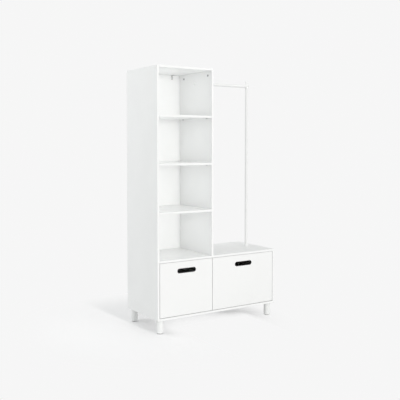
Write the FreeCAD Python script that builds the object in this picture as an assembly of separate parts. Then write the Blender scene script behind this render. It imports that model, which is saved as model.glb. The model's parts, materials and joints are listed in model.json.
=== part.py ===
import FreeCAD, Part
import os
from FreeCAD import Vector

# Kids clothing rack: an open shelf column beside a hanging rail, on a low bench with two drawers.
# Millimetres. X runs to the right, Y to the back and Z up. The origin is on the floor, under the middle.

os.makedirs("parts", exist_ok=True)

# Overall sizes
overall_width = 800.0
overall_depth = 360.0
overall_height = 1450.0
leg_height = 75.0
bench_height = 400.0
column_width = 360.0

# Boards
board = 12.0
edge_round = 0.8
back_board = 3.0
back_setback = 12.0
groove_depth = 6.0
panel_clearance = 0.2
shelf_clearance = 0.5
shelf_names = ("lower_shelf", "middle_shelf", "upper_shelf")

# Legs and what holds them
leg_radius = 19.0
leg_inset = 30.0
leg_foot_round = 3.0
glide_radius = 15.0
glide_height = 3.0
glide_round = 1.2
glide_pin_radius = 1.6
glide_pin_length = 14.0
leg_bolt_radius = 4.0
leg_bolt_depth = 36.0
leg_nut_flange_radius = 11.0
leg_nut_flange = 1.5
leg_nut_barrel_radius = 5.0
leg_nut_barrel = 9.0

# Hanging frame
tube_radius = 9.0
tube_wall = 1.5
post_from_right = 75.0
post_below_column = 40.0
rail_below_top = 30.0
cap_height = 5.0
cap_round = 4.0
cap_plug = 14.0
insert_length = 30.0
cope_clearance = 0.05
rail_bolt_radius = 3.0
rail_bolt_grip = 20.0
rail_bolt_head_radius = 5.5
rail_bolt_broad_head_radius = 8.5
rail_bolt_head = 3.6
hex_key_radius = 2.0
hex_key_depth = 2.2

# Wall brackets in the top compartment
bracket_width = 10.0
bracket_drop = 26.0
bracket_reach = 26.0
bracket_steel = 1.5
bracket_from_side = 55.0
bracket_hole_radius = 2.75
bracket_hole_drop = 16.0
wall_screw_room = 1.25

# Cam locks, their bolts, dowels, screws and shelf pins
cam_radius = 6.0
cam_depth = 10.0
cam_setback = 24.0
cam_slot_width = 1.6
cam_slot_length = 8.0
cam_slot_depth = 1.4
cam_front_inset = 40.0
cam_rear_inset = 62.0
cam_side_step = 32.0
cam_bolt_radius = 3.0
cam_bolt_past = 3.0
cam_thread_radius = 2.5
cam_thread = 8.0
dowel_radius = 3.0
dowel_edge_depth = 18.0
dowel_face_depth = 8.0
dowel_from_middle = 55.0
bottom_screw_radius = 2.6
bottom_screw_depth = 32.0
bottom_screw_head_radius = 4.5
bottom_screw_head = 3.0
bottom_screw_from_middle = 95.0
small_screw_radius = 1.75
small_screw_depth = 9.0
small_screw_head_radius = 3.4
small_screw_head = 1.0
pin_radius = 2.5
pin_depth = 8.0
pin_reach = 9.0
pin_inset = 45.0
fit_clearance = 0.1
run_clearance = 0.05

# Drawers
front_gap = 2.5
front_top_gap = 1.5
divider_gap = 1.0
box_depth = 300.0
box_height = 200.0
drawer_bottom = 3.0
drawer_bottom_lift = 10.0
drawer_groove = 5.0
slot_length = 120.0
slot_height = 26.0
slot_drop = 51.0
slot_round = 1.6
drawer_cam_height_shares = (0.32, 0.8)
back_screw_height_shares = (0.3, 0.78)
back_screw_radius = 2.0
back_screw_depth = 36.0
back_screw_head_radius = 3.8
back_screw_head = 2.4
slide_screw_margin = 2.0

# Drawer runners and their rollers
runner_gap = 12.5
runner_reach = 10.4
runner_height = 22.0
runner_lift = 8.0
runner_front_gap = 3.0
runner_steel = 1.2
runner_screw_shares = {"left": (0.19, 0.7), "right": (0.29, 0.8)}
slide_screw_shares = (0.2, 0.8)
roller_from_end = 12.0
roll_gap = 0.3
roller_headroom = 0.4
track_headroom = 1.6
track_edge_gap = 1.3
track_end_gap = 2.0
axle_radius = 2.5
axle_head_radius = 3.8
axle_head = 0.8
axle_collar_radius = 4.2
roller_side_gap = 0.3
roller_round = 0.8
stop_height = 6.0
drawer_travel = 225.0

# One overrun serves every cut, and one share tells which edges lie at a level
overrun = 2.0
level_share = 0.01

# Levels and faces that follow from the sizes
left_out = -overall_width / 2
left_in = left_out + board
right_out = overall_width / 2
right_in = right_out - board
column_out = left_out + column_width
column_in = column_out - board
front = -overall_depth / 2
rear = overall_depth / 2
bottom_z0 = leg_height
bottom_z1 = leg_height + board
bench_z1 = bench_height
bench_z0 = bench_height - board
top_z1 = overall_height
top_z0 = overall_height - board
back_y1 = rear - back_setback
back_y0 = back_y1 - back_board
shelf_count = len(shelf_names)
cubby_height = (top_z0 - bench_z1 - shelf_count * board) / (shelf_count + 1)
post_x = right_out - post_from_right
post_z1 = top_z1 - post_below_column
post_height = post_z1 - bench_z1
rail_z = post_z1 - rail_below_top
bore_radius = tube_radius - tube_wall
split_x = column_out - board / 2
front_z0 = bottom_z1 + front_gap
front_z1 = bench_z0 - front_top_gap
slot_z = front_z1 - slot_drop
box_y0 = front + board
box_y1 = box_y0 + box_depth
runner_z0 = bottom_z1 + runner_lift
runner_z1 = runner_z0 + runner_height
runner_y0 = box_y0 + runner_front_gap
side_z0 = runner_z0 + runner_steel
side_z1 = side_z0 + box_height
slide_screw_depth = runner_steel + drawer_bottom_lift - slide_screw_margin
rear_roller_radius = (runner_height - 2 * runner_steel - 2 * roll_gap - roller_headroom) / 2
rear_roller_y = box_y1 - roller_from_end
rear_roller_z = runner_z0 + runner_steel + roll_gap + rear_roller_radius
track_z1 = runner_z1 - runner_steel - track_headroom
track_z0 = track_z1 - runner_steel
front_roller_radius = (track_z0 - runner_z0 - runner_steel - 2 * roll_gap) / 2
front_roller_y = runner_y0 + roller_from_end
front_roller_z = runner_z0 + runner_steel + roll_gap + front_roller_radius
stop_y = rear_roller_y - drawer_travel - rear_roller_radius - roll_gap

RIGHT = Vector(1, 0, 0)
BACK = Vector(0, 1, 0)
UP = Vector(0, 0, 1)

blanks = {}
cutters = {}
pieces = {}


# Small helpers

def block(x0, x1, y0, y1, z0, z1):
    """A box between two corners, whichever way round each pair is given."""
    low = Vector(min(x0, x1), min(y0, y1), min(z0, z1))
    return Part.makeBox(abs(x1 - x0), abs(y1 - y0), abs(z1 - z0), low)


def between(p, q):
    """A box with p and q as opposite corners."""
    return block(p.x, q.x, p.y, q.y, p.z, q.z)


def rod(start, axis, radius, length):
    """A cylinder that runs from start along axis."""
    return Part.makeCylinder(radius, length, start, axis)


def add_board(name, x0, x1, y0, y1, z0, z1, rounding=edge_round):
    """A board with softly rounded edges, whose holes are collected until the end."""
    blank = block(x0, x1, y0, y1, z0, z1)
    blanks[name] = blank.makeFillet(rounding, blank.Edges) if rounding else blank
    cutters[name] = []


def cut_from(name, *rooms):
    """Notes what is to be taken out of a board."""
    cutters[name].extend(rooms)


def add(name, *solids):
    """Adds solids to a node."""
    pieces.setdefault(name, []).extend(solids)


def across(axis):
    """The two directions square to an axis."""
    return [way for way in (RIGHT, BACK, UP) if not round(way.dot(axis))]


def round_end(solid, radius, level):
    """Rounds the circular edges of a solid that lie at one height."""
    near = radius * level_share
    edges = [e for e in solid.Edges if abs(e.BoundBox.ZMin - level) < near and e.BoundBox.ZLength < near]
    return solid.makeFillet(radius, edges)


# Fastenings

def cam_joint(prefix, carrier, mate, face_point, inward, toward):
    """A cam sunk in the face of the carrier board, and the bolt that it draws in from the mating board."""
    axis_point = face_point + inward * (board / 2)
    cam = rod(face_point, inward, cam_radius, cam_depth)
    pocket = rod(axis_point - toward * cam_bolt_past, toward, cam_bolt_radius + fit_clearance,
                 cam_setback + cam_bolt_past + overrun)
    slots = []
    for long_way, short_way in (across(inward), across(inward)[::-1]):
        corner = long_way * (cam_slot_length / 2) + short_way * (cam_slot_width / 2)
        slots.append(between(face_point - corner, face_point + corner + inward * cam_slot_depth))
    add(prefix + "cam_locks", cam.cut([pocket] + slots))
    edge_point = axis_point + toward * cam_setback
    shank = rod(axis_point - toward * (cam_bolt_past - fit_clearance), toward, cam_bolt_radius,
                cam_setback + cam_bolt_past - fit_clearance)
    add(prefix + "cam_bolts", shank.fuse(rod(edge_point, toward, cam_thread_radius, cam_thread)))
    cut_from(carrier, rod(face_point - inward * overrun, inward, cam_radius + fit_clearance,
                          cam_depth + overrun + fit_clearance), pocket)
    cut_from(mate, rod(edge_point - toward * overrun, toward, cam_thread_radius + fit_clearance,
                       cam_thread + overrun + fit_clearance))


def dowel_joint(edge_board, face_board, joint_point, into_edge):
    """A dowel half in the end grain of one board and half in the face of the other."""
    start = joint_point - into_edge * dowel_face_depth
    length = dowel_face_depth + dowel_edge_depth
    add("wood_dowels", rod(start, into_edge, dowel_radius, length))
    hole = rod(start - into_edge * fit_clearance, into_edge, dowel_radius + fit_clearance,
               length + 2 * fit_clearance)
    cut_from(edge_board, hole)
    cut_from(face_board, hole)


def bottom_screw(panel, x, y):
    """A long screw up through the bottom panel into the end of the board that stands on it."""
    head = rod(Vector(x, y, bottom_z0), UP, bottom_screw_head_radius, bottom_screw_head)
    length = board + bottom_screw_depth
    shank = rod(Vector(x, y, bottom_z0), UP, bottom_screw_radius, length)
    key = rod(Vector(x, y, bottom_z0), UP, hex_key_radius, hex_key_depth)
    add("bottom_screws", head.fuse(shank).cut(key))
    cut_from("bottom_panel", rod(Vector(x, y, bottom_z0 - overrun), UP,
                                 bottom_screw_head_radius + fit_clearance,
                                 bottom_screw_head + overrun + fit_clearance))
    hole = rod(Vector(x, y, bottom_z0), UP, bottom_screw_radius + fit_clearance, length + fit_clearance)
    cut_from("bottom_panel", hole)
    cut_from(panel, hole)


def flat_screw(node, seat, into, depth):
    """A small screw whose low head bears on the seat and whose shank goes into the wood behind it."""
    head = rod(seat - into * small_screw_head, into, small_screw_head_radius, small_screw_head)
    slot_long, slot_short = across(into)
    corner = slot_long * (small_screw_head_radius / 2) + slot_short * (small_screw_radius / 4)
    top = seat - into * small_screw_head
    slot = between(top - corner, top + corner + into * (small_screw_head / 2))
    add(node, head.fuse(rod(seat, into, small_screw_radius, depth)).cut(slot))


def screw_hole(seat, into, depth):
    """The room that a small screw's shank needs."""
    return rod(seat, into, small_screw_radius + fit_clearance, depth + fit_clearance)


def rail_bolt(seat, into, length, head_radius=rail_bolt_broad_head_radius):
    """A round-headed bolt with a hexagon socket, drawn up against its seat."""
    top = seat - into * rail_bolt_head
    head = rod(top, into, head_radius, rail_bolt_head)
    key = rod(top, into, hex_key_radius, hex_key_depth)
    add("rail_bolts", head.fuse(rod(seat, into, rail_bolt_radius, length)).cut(key))


def tube_insert(start, axis):
    """A threaded plug pressed in the end of a tube."""
    plug = rod(start, axis, bore_radius - run_clearance, insert_length)
    add("tube_inserts", plug.cut(rod(start, axis, rail_bolt_radius + run_clearance, insert_length)))


# Carcass boards

def carcass_boards():
    """The boards of the bench and the column."""
    add_board("bottom_panel", left_out, right_out, front, rear, bottom_z0, bottom_z1)
    add_board("left_side_panel", left_out, left_in, front, rear, bottom_z1, top_z0)
    add_board("right_side_panel", right_in, right_out, front, rear, bottom_z1, bench_z0)
    add_board("column_side_panel", column_in, column_out, front, rear, bench_z1, top_z0)
    add_board("drawer_divider", column_in, column_out, box_y0 + divider_gap, back_y0, bottom_z1, bench_z0)
    add_board("bench_top", left_in, right_out, front, rear, bench_z0, bench_z1)
    add_board("column_top", left_out, column_out, front, rear, top_z0, top_z1)
    for i, name in enumerate(shelf_names):
        z0 = bench_z1 + cubby_height + i * (cubby_height + board)
        add_board(name, left_in + shelf_clearance, column_in - shelf_clearance, front,
                  back_y0 - shelf_clearance, z0, z0 + board)
        shelf_pins(z0)


def shelf_pins(shelf_z0):
    """Four round pins that a shelf lies on."""
    z = shelf_z0 - pin_radius
    ends = (("left_side_panel", left_in, RIGHT), ("column_side_panel", column_in, -RIGHT))
    for y in (front + pin_inset, back_y0 - pin_inset):
        for name, face_x, way in ends:
            start = Vector(face_x, y, z) - way * pin_depth
            add("shelf_pins", rod(start, way, pin_radius, pin_depth + pin_reach))
            cut_from(name, rod(start - way * fit_clearance, way, pin_radius + fit_clearance,
                               pin_depth + overrun))


def back_panels():
    """Thin backs held in grooves that run up the side boards."""
    slot_y0 = back_y0 - panel_clearance
    slot_y1 = back_y1 + panel_clearance
    grooves = (("left_side_panel", left_in, -1), ("column_side_panel", column_in, 1),
               ("right_side_panel", right_in, 1))
    for name, face_x, way in grooves:
        cut_from(name, block(face_x - way * overrun, face_x + way * groove_depth, slot_y0, slot_y1,
                             bottom_z0, top_z1))
    hold = groove_depth - panel_clearance
    add_board("column_back", left_in - hold, column_in + hold, back_y0, back_y1, bench_z1, top_z0, 0)
    add_board("bench_back", left_in - hold, right_in + hold, back_y0, back_y1, bottom_z1, bench_z0, 0)


def carcass_fastenings():
    """Cams, dowels and screws that hold the boards to each other."""
    cam_ys = (front + cam_front_inset, rear - cam_rear_inset)
    inner_ys = (front + cam_front_inset + cam_side_step, rear - cam_rear_inset - cam_side_step)
    for y in cam_ys:
        z = top_z0 - cam_setback
        cam_joint("", "left_side_panel", "column_top", Vector(left_in, y, z), -RIGHT, UP)
        cam_joint("", "column_side_panel", "column_top", Vector(column_in, y, z), RIGHT, UP)
        z = bench_z0 - cam_setback
        cam_joint("", "right_side_panel", "bench_top", Vector(right_in, y, z), RIGHT, UP)
        cam_joint("", "bench_top", "left_side_panel", Vector(left_in + cam_setback, y, bench_z0), UP, -RIGHT)
        z = bench_z1 + cam_setback
        cam_joint("", "column_side_panel", "bench_top", Vector(column_out, y, z), -RIGHT, -UP)
    for y in inner_ys:
        z = bench_z0 - cam_setback
        cam_joint("", "drawer_divider", "bench_top", Vector(column_in, y, z), RIGHT, UP)
    for y in (-dowel_from_middle, dowel_from_middle):
        for name, x in (("left_side_panel", left_in - board / 2), ("column_side_panel", split_x)):
            dowel_joint(name, "column_top", Vector(x, y, top_z0), -UP)
        for name, x in (("left_side_panel", left_in - board / 2), ("drawer_divider", split_x),
                        ("right_side_panel", right_in + board / 2)):
            dowel_joint(name, "bottom_panel", Vector(x, y, bottom_z1), UP)
        dowel_joint("right_side_panel", "bench_top", Vector(right_in + board / 2, y, bench_z0), -UP)
        dowel_joint("bench_top", "left_side_panel", Vector(left_in, y, bench_z0 + board / 2), RIGHT)
    through_dowel(0)
    for y in (-bottom_screw_from_middle, bottom_screw_from_middle):
        bottom_screw("left_side_panel", left_in - board / 2, y)
        bottom_screw("drawer_divider", split_x, y)
        bottom_screw("right_side_panel", right_in + board / 2, y)


def through_dowel(y):
    """One long dowel that lines up the divider, the bench top and the column's side."""
    start = Vector(split_x, y, bench_z0 - dowel_edge_depth)
    length = 2 * dowel_edge_depth + board
    add("wood_dowels", rod(start, UP, dowel_radius, length))
    hole = rod(start - UP * fit_clearance, UP, dowel_radius + fit_clearance, length + 2 * fit_clearance)
    for name in ("drawer_divider", "bench_top", "column_side_panel"):
        cut_from(name, hole)


# Legs

def legs():
    """Round legs on a stud and a nut in the bottom panel, each with a glide under its foot."""
    places = {"front_left_leg": (left_out + leg_inset, front + leg_inset),
              "front_right_leg": (right_out - leg_inset, front + leg_inset),
              "rear_left_leg": (left_out + leg_inset, rear - leg_inset),
              "rear_right_leg": (right_out - leg_inset, rear - leg_inset)}
    stud_z0 = bottom_z0 - leg_bolt_depth
    stud_z1 = bottom_z1 + leg_nut_flange
    barrel_z0 = bottom_z1 - leg_nut_barrel
    for name, (x, y) in places.items():
        leg = rod(Vector(x, y, glide_height), UP, leg_radius, leg_height - glide_height)
        leg = round_end(leg, leg_foot_round, glide_height)
        stud_room = rod(Vector(x, y, stud_z0 - fit_clearance), UP, leg_bolt_radius + fit_clearance,
                        overall_height)
        pin_room = rod(Vector(x, y, 0), UP, glide_pin_radius + fit_clearance,
                       glide_height + glide_pin_length + fit_clearance)
        add(name, leg.cut([stud_room, pin_room]))
        glide = round_end(rod(Vector(x, y, 0), UP, glide_radius, glide_height), glide_round, 0)
        pin = rod(Vector(x, y, glide_height), UP, glide_pin_radius, glide_pin_length)
        add("leg_glides", glide.fuse(pin))
        add("leg_bolts", rod(Vector(x, y, stud_z0), UP, leg_bolt_radius, stud_z1 - stud_z0))
        flange = rod(Vector(x, y, bottom_z1), UP, leg_nut_flange_radius, leg_nut_flange)
        barrel = rod(Vector(x, y, barrel_z0), UP, leg_nut_barrel_radius, leg_nut_barrel)
        thread = rod(Vector(x, y, barrel_z0 - overrun), UP, leg_bolt_radius + run_clearance, overall_height)
        add("leg_nuts", flange.fuse(barrel).cut(thread))
        cut_from("bottom_panel", rod(Vector(x, y, bottom_z0 - overrun), UP, leg_bolt_radius + fit_clearance,
                                     board + 2 * overrun))
        cut_from("bottom_panel", rod(Vector(x, y, barrel_z0 - fit_clearance), UP,
                                     leg_nut_barrel_radius + fit_clearance, leg_nut_barrel + overrun))


# Hanging frame

def tube(start, axis, length):
    """A round tube with an open bore."""
    return rod(start, axis, tube_radius, length).cut(rod(start, axis, bore_radius, length))


def hanging_frame():
    """The post on the bench, the rail between column and post, and their plugs, bolts and cap."""
    tube_z1 = post_z1 - cap_height
    post_foot = Vector(post_x, 0, bench_z1)
    rail_start = Vector(column_out, 0, rail_z)
    cross_hole = rod(Vector(post_x - 2 * tube_radius, 0, rail_z), RIGHT, rail_bolt_radius + fit_clearance,
                     4 * tube_radius)
    add("hanging_post", tube(post_foot, UP, tube_z1 - bench_z1).cut(cross_hole))
    cope = rod(post_foot, UP, tube_radius + cope_clearance, post_height)
    add("hanging_rail", tube(rail_start, RIGHT, post_x - column_out).cut(cope))
    plug = rod(Vector(post_x, 0, tube_z1 - cap_plug), UP, bore_radius - run_clearance, cap_plug)
    crown = round_end(rod(Vector(post_x, 0, tube_z1), UP, tube_radius, cap_height), cap_round, post_z1)
    add("post_cap", crown.fuse(plug))
    tube_insert(post_foot, UP)
    tube_insert(rail_start, RIGHT)
    right_end = Vector(post_x - tube_radius - cope_clearance, 0, rail_z)
    tube_insert(right_end, -RIGHT)
    rail_bolt(Vector(post_x, 0, bench_z0), UP, board + rail_bolt_grip)
    rail_bolt(Vector(column_in, 0, rail_z), RIGHT, board + rail_bolt_grip)
    rail_bolt(Vector(post_x + tube_radius, 0, rail_z), -RIGHT, 2 * tube_radius + rail_bolt_grip,
              rail_bolt_head_radius)
    cut_from("bench_top", rod(Vector(post_x, 0, bench_z0 - overrun), UP, rail_bolt_radius + fit_clearance,
                              board + 2 * overrun))
    cut_from("column_side_panel", rod(Vector(column_in - overrun, 0, rail_z), RIGHT,
                                      rail_bolt_radius + fit_clearance, board + 2 * overrun))


def wall_brackets():
    """Two angle brackets under the column's top, for screws through the back into a wall."""
    for x in (left_in + bracket_from_side, column_in - bracket_from_side):
        x0 = x - bracket_width / 2
        x1 = x + bracket_width / 2
        flat = block(x0, x1, back_y0 - bracket_reach, back_y0, top_z0 - bracket_steel, top_z0)
        upright = block(x0, x1, back_y0 - bracket_steel, back_y0, top_z0 - bracket_drop, top_z0)
        wall_hole = Vector(x, back_y0 - bracket_reach, top_z0 - bracket_hole_drop)
        seat = Vector(x, back_y0 - bracket_reach / 2, top_z0 - bracket_steel)
        shank = screw_hole(seat, UP, small_screw_depth)
        angle = flat.fuse(upright).removeSplitter()
        add("wall_brackets", angle.cut([shank, rod(wall_hole, BACK, bracket_hole_radius, overall_depth)]))
        flat_screw("board_screws", seat, UP, small_screw_depth)
        cut_from("column_top", shank)
        cut_from("column_back", rod(wall_hole, BACK, bracket_hole_radius + wall_screw_room, overall_depth))


# Runners

def slab(wall_x, way, u0, u1, y0, y1, z0, z1):
    """A box placed by its distance from a carcass wall, into the drawer bay."""
    return block(wall_x + way * u0, wall_x + way * u1, y0, y1, z0, z1)


def stub(wall_x, way, u0, u1, y, z, radius):
    """A round boss that lies across the bay, placed by its distance from a carcass wall."""
    return rod(Vector(wall_x + way * u0, y, z), RIGHT * way, radius, u1 - u0)


def roller(wall_x, way, u0, u1, y, z, radius):
    """A nylon roller with softened rims and a bore for its axle."""
    wheel = stub(wall_x, way, u0, u1, y, z, radius)
    wheel = wheel.makeFillet(roller_round, [e for e in wheel.Edges if e.BoundBox.XLength < roller_round])
    return wheel.cut(stub(wall_x, way, u0, u1, y, z, axle_radius + run_clearance))


def cabinet_runner(name, wheel_node, wall_name, wall_x, way, screw_shares):
    """A channel on the carcass wall, with a roller at its front and stops at both ends of the travel."""
    steel = runner_steel
    reach = runner_reach
    y0 = runner_y0
    y1 = box_y1
    z0 = runner_z0
    z1 = runner_z1
    web = slab(wall_x, way, 0, steel, y0, y1, z0, z1)
    collar_u1 = steel + axle_head
    wheel_u0 = collar_u1 + roller_side_gap
    wheel_u1 = reach - axle_head - roller_side_gap
    parts = [slab(wall_x, way, 0, reach, y0, y1, z0, z0 + steel),
             slab(wall_x, way, 0, reach, y0, y1, z1 - steel, z1),
             slab(wall_x, way, 0, reach, y1 - steel, y1, z0, z1),
             slab(wall_x, way, 0, reach, stop_y - steel, stop_y, z0, z0 + stop_height),
             stub(wall_x, way, 0, reach, front_roller_y, front_roller_z, axle_radius),
             stub(wall_x, way, 0, collar_u1, front_roller_y, front_roller_z, axle_collar_radius),
             stub(wall_x, way, reach - axle_head, reach, front_roller_y, front_roller_z, axle_head_radius)]
    channel = web.fuse(parts).removeSplitter()
    into = -RIGHT * way
    for share in screw_shares:
        seat = Vector(wall_x + way * steel, y0 + share * (y1 - y0), (z0 + z1) / 2)
        hole = screw_hole(seat, into, small_screw_depth)
        channel = channel.cut(hole)
        cut_from(wall_name, hole)
        flat_screw("board_screws", seat, into, small_screw_depth)
    add(name, channel)
    add(wheel_node, roller(wall_x, way, wheel_u0, wheel_u1, front_roller_y, front_roller_z,
                           front_roller_radius))


def drawer_slide(prefix, name, wheel_node, side_name, wall_x, way):
    """The angle under a drawer side, with its track flange and the roller at its back end."""
    steel = runner_steel
    y0 = runner_y0
    y1 = box_y1
    z0 = runner_z0
    web_u = runner_gap - steel
    head_u0 = small_screw_head + steel + axle_head
    wheel_u0 = head_u0 + axle_head + roller_side_gap
    wheel_u1 = web_u - axle_head - roller_side_gap
    track_y1 = rear_roller_y - rear_roller_radius - track_end_gap
    web = slab(wall_x, way, web_u, runner_gap, y0, y1, z0, track_z1)
    parts = [slab(wall_x, way, web_u, runner_gap + board, y0, y1, z0, z0 + steel),
             slab(wall_x, way, steel + track_edge_gap, runner_gap, y0, track_y1, track_z0, track_z1),
             stub(wall_x, way, head_u0, runner_gap, rear_roller_y, rear_roller_z, axle_radius),
             stub(wall_x, way, web_u - axle_head, runner_gap, rear_roller_y, rear_roller_z,
                  axle_collar_radius),
             stub(wall_x, way, head_u0, head_u0 + axle_head, rear_roller_y, rear_roller_z, axle_head_radius)]
    angle = web.fuse(parts).removeSplitter()
    for share in slide_screw_shares:
        seat = Vector(wall_x + way * (runner_gap + board / 2), y0 + share * (y1 - y0), z0)
        hole = screw_hole(seat, UP, slide_screw_depth)
        angle = angle.cut(hole)
        cut_from(side_name, hole)
        flat_screw(prefix + "screws", seat, UP, slide_screw_depth)
    add(name, angle)
    add(wheel_node, roller(wall_x, way, wheel_u0, wheel_u1, rear_roller_y, rear_roller_z, rear_roller_radius))


# Drawers

def hand_slot(x):
    """The room of a round-ended hand slot through a drawer front."""
    end = slot_height / 2
    half = slot_length / 2 - end
    depth = board + 2 * overrun
    y0 = front - overrun
    middle = block(x - half, x + half, y0, y0 + depth, slot_z - end, slot_z + end)
    ends = [rod(Vector(x + side * half, y0, slot_z), BACK, end, depth) for side in (-1, 1)]
    return middle.fuse(ends).removeSplitter()


def slot_rims(shape, x):
    """The edges where a hand slot breaks through the two faces of its board."""
    rims = []
    for edge in shape.Edges:
        room = edge.BoundBox
        inside = abs(room.Center.x - x) < slot_length / 2 and abs(room.Center.z - slot_z) < slot_height
        on_face = min(abs(room.Center.y - front), abs(room.Center.y - box_y0)) < run_clearance
        if inside and on_face and room.YLength < run_clearance:
            rims.append(edge)
    return rims


def drawer(side, bay_x0, bay_x1, front_x0, front_x1, left_wall, right_wall):
    """One drawer: its box, its front with a hand slot, its slides, and the runners that carry it."""
    prefix = side + "_drawer_"
    box_x0 = bay_x0 + runner_gap
    box_x1 = bay_x1 - runner_gap
    inner_x0 = box_x0 + board
    inner_x1 = box_x1 - board
    back_face = box_y1 - board
    add_board(prefix + "front", front_x0, front_x1, front, box_y0, front_z0, front_z1)
    add_board(prefix + "left_side", box_x0, inner_x0, box_y0, box_y1, side_z0, side_z1)
    add_board(prefix + "right_side", inner_x1, box_x1, box_y0, box_y1, side_z0, side_z1)
    add_board(prefix + "back", inner_x0, inner_x1, back_face, box_y1, side_z0, side_z1)
    floor_z0 = side_z0 + drawer_bottom_lift
    floor_z1 = floor_z0 + drawer_bottom
    hold = drawer_groove - panel_clearance
    add_board(prefix + "bottom", inner_x0 - hold, inner_x1 + hold, box_y0 - hold, back_face + hold,
              floor_z0, floor_z1, 0)
    groove = block(inner_x0 - drawer_groove, inner_x1 + drawer_groove, box_y0 - drawer_groove,
                   back_face + drawer_groove, floor_z0 - panel_clearance, floor_z1 + panel_clearance)
    for name in ("front", "left_side", "right_side", "back"):
        cut_from(prefix + name, groove)
    slot_x = (front_x0 + front_x1) / 2
    cut_from(prefix + "front", hand_slot(slot_x))
    sides = ((prefix + "left_side", inner_x0, -RIGHT), (prefix + "right_side", inner_x1, RIGHT))
    for name, face_x, outward in sides:
        for share in drawer_cam_height_shares:
            z = side_z0 + share * box_height
            cam_joint(prefix, name, prefix + "front", Vector(face_x, box_y0 + cam_setback, z), outward, -BACK)
        for share in back_screw_height_shares:
            z = side_z0 + share * box_height
            back_screw(prefix, name, Vector(face_x, box_y1 - board / 2, z) + outward * board, -outward)
    wheels = side + "_front_rollers"
    shares = runner_screw_shares[side]
    cabinet_runner(side + "_bay_left_runner", wheels, left_wall, bay_x0, 1, shares)
    cabinet_runner(side + "_bay_right_runner", wheels, right_wall, bay_x1, -1, shares)
    wheels = side + "_rear_rollers"
    drawer_slide(prefix, prefix + "left_slide", wheels, prefix + "left_side", bay_x0, 1)
    drawer_slide(prefix, prefix + "right_slide", wheels, prefix + "right_side", bay_x1, -1)
    return slot_x


def back_screw(prefix, side_name, start, into):
    """A sunk screw through a drawer side into the end of the drawer's back."""
    head = rod(start, into, back_screw_head_radius, back_screw_head)
    key = rod(start, into, hex_key_radius, back_screw_head / 2)
    add(prefix + "screws", head.fuse(rod(start, into, back_screw_radius, back_screw_depth)).cut(key))
    room = rod(start, into, back_screw_radius + fit_clearance, back_screw_depth + fit_clearance)
    head_room = rod(start - into * overrun, into, back_screw_head_radius + fit_clearance,
                    back_screw_head + overrun + fit_clearance)
    cut_from(side_name, head_room, room)
    cut_from(prefix + "back", room)


carcass_boards()
back_panels()
carcass_fastenings()
legs()
hanging_frame()
wall_brackets()
slot_centres = {
    "left_drawer_front": drawer("left", left_in, column_in, left_in + front_gap, split_x - front_gap / 2,
                                "left_side_panel", "drawer_divider"),
    "right_drawer_front": drawer("right", column_out, right_in, split_x + front_gap / 2, right_in - front_gap,
                                 "drawer_divider", "right_side_panel"),
}

for name, blank in blanks.items():
    shape = blank.cut(cutters[name]) if cutters[name] else blank
    if name in slot_centres:
        shape = shape.makeFillet(slot_round, slot_rims(shape, slot_centres[name]))
    add(name, *shape.Solids)

for name, solids in pieces.items():
    shape = solids[0] if len(solids) == 1 else Part.makeCompound(solids)
    shape.exportStep("parts/" + name + ".step")
    print(f"{name}: {len(shape.Solids)} solids, {shape.Volume / 1000:.1f} cm3, valid {shape.isValid()}")
print(len(pieces), "nodes")
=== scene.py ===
# %% [markdown]
# A white rack for children's clothes
#
# The rack is a tall open column of shelves beside a hanging rail, on a low bench with two drawers.
# Its boards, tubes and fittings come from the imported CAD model, which stays exactly where it is.
# This lesson adds what CAD leaves out: camera, light, finishes, and the small moulded and turned pieces.

# %% Load the frame
import json
import math

import bmesh
import bpy
from mathutils import Matrix, Vector


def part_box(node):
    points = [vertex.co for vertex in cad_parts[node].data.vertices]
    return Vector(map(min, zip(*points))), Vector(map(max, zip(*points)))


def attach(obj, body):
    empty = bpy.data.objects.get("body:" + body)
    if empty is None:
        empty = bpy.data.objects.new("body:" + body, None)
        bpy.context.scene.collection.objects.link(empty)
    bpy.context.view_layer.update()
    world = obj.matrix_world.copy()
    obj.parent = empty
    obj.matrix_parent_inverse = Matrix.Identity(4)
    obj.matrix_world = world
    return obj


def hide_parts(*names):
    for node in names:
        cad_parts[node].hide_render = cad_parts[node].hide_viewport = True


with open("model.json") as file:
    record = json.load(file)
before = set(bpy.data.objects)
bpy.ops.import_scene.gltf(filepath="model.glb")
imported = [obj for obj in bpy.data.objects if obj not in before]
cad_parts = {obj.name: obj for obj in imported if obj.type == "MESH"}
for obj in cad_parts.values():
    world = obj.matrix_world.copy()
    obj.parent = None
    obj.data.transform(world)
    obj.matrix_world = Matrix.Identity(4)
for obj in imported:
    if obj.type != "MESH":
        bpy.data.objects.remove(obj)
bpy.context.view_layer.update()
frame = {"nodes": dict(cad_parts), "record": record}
nodes = frame["nodes"]

# %% [markdown]
# The camera
#
# The photograph was taken from the front left, a little above the rack's middle, with a short tele lens.
# Its place and lens could be set by eye, but the boards' straight edges give many lines to fit, so they were
# worked out from these.
# The lens is shifted down a little instead of being tilted more, so upright boards stay nearly upright.

# %% Place the camera
camera_place = Vector((-2.11192, -3.25337, 1.03496))
camera_yaw = math.radians(32.816)
camera_pitch = math.radians(-2.509)
camera_data = bpy.data.cameras.new("photo_camera")
camera_data.sensor_width = 36.0
camera_data.lens = 59.44
camera_data.shift_y = -0.07
camera = bpy.data.objects.new("photo_camera", camera_data)
bpy.context.scene.collection.objects.link(camera)
level = math.cos(camera_pitch)
look = Vector((math.sin(camera_yaw) * level, math.cos(camera_yaw) * level, math.sin(camera_pitch)))
camera.location = camera_place
camera.rotation_euler = look.to_track_quat("-Z", "Y").to_euler()
bpy.context.scene.camera = camera
bpy.context.scene.view_settings.view_transform = "Standard"

# %% [markdown]
# Building shader nodes
#
# Every light and finish below is a small tree of nodes. Each node could be added and joined by hand, but a
# few helpers keep the cells short. One adds a node and fills its sockets, and the others are the steps that
# come up again and again.

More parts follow.
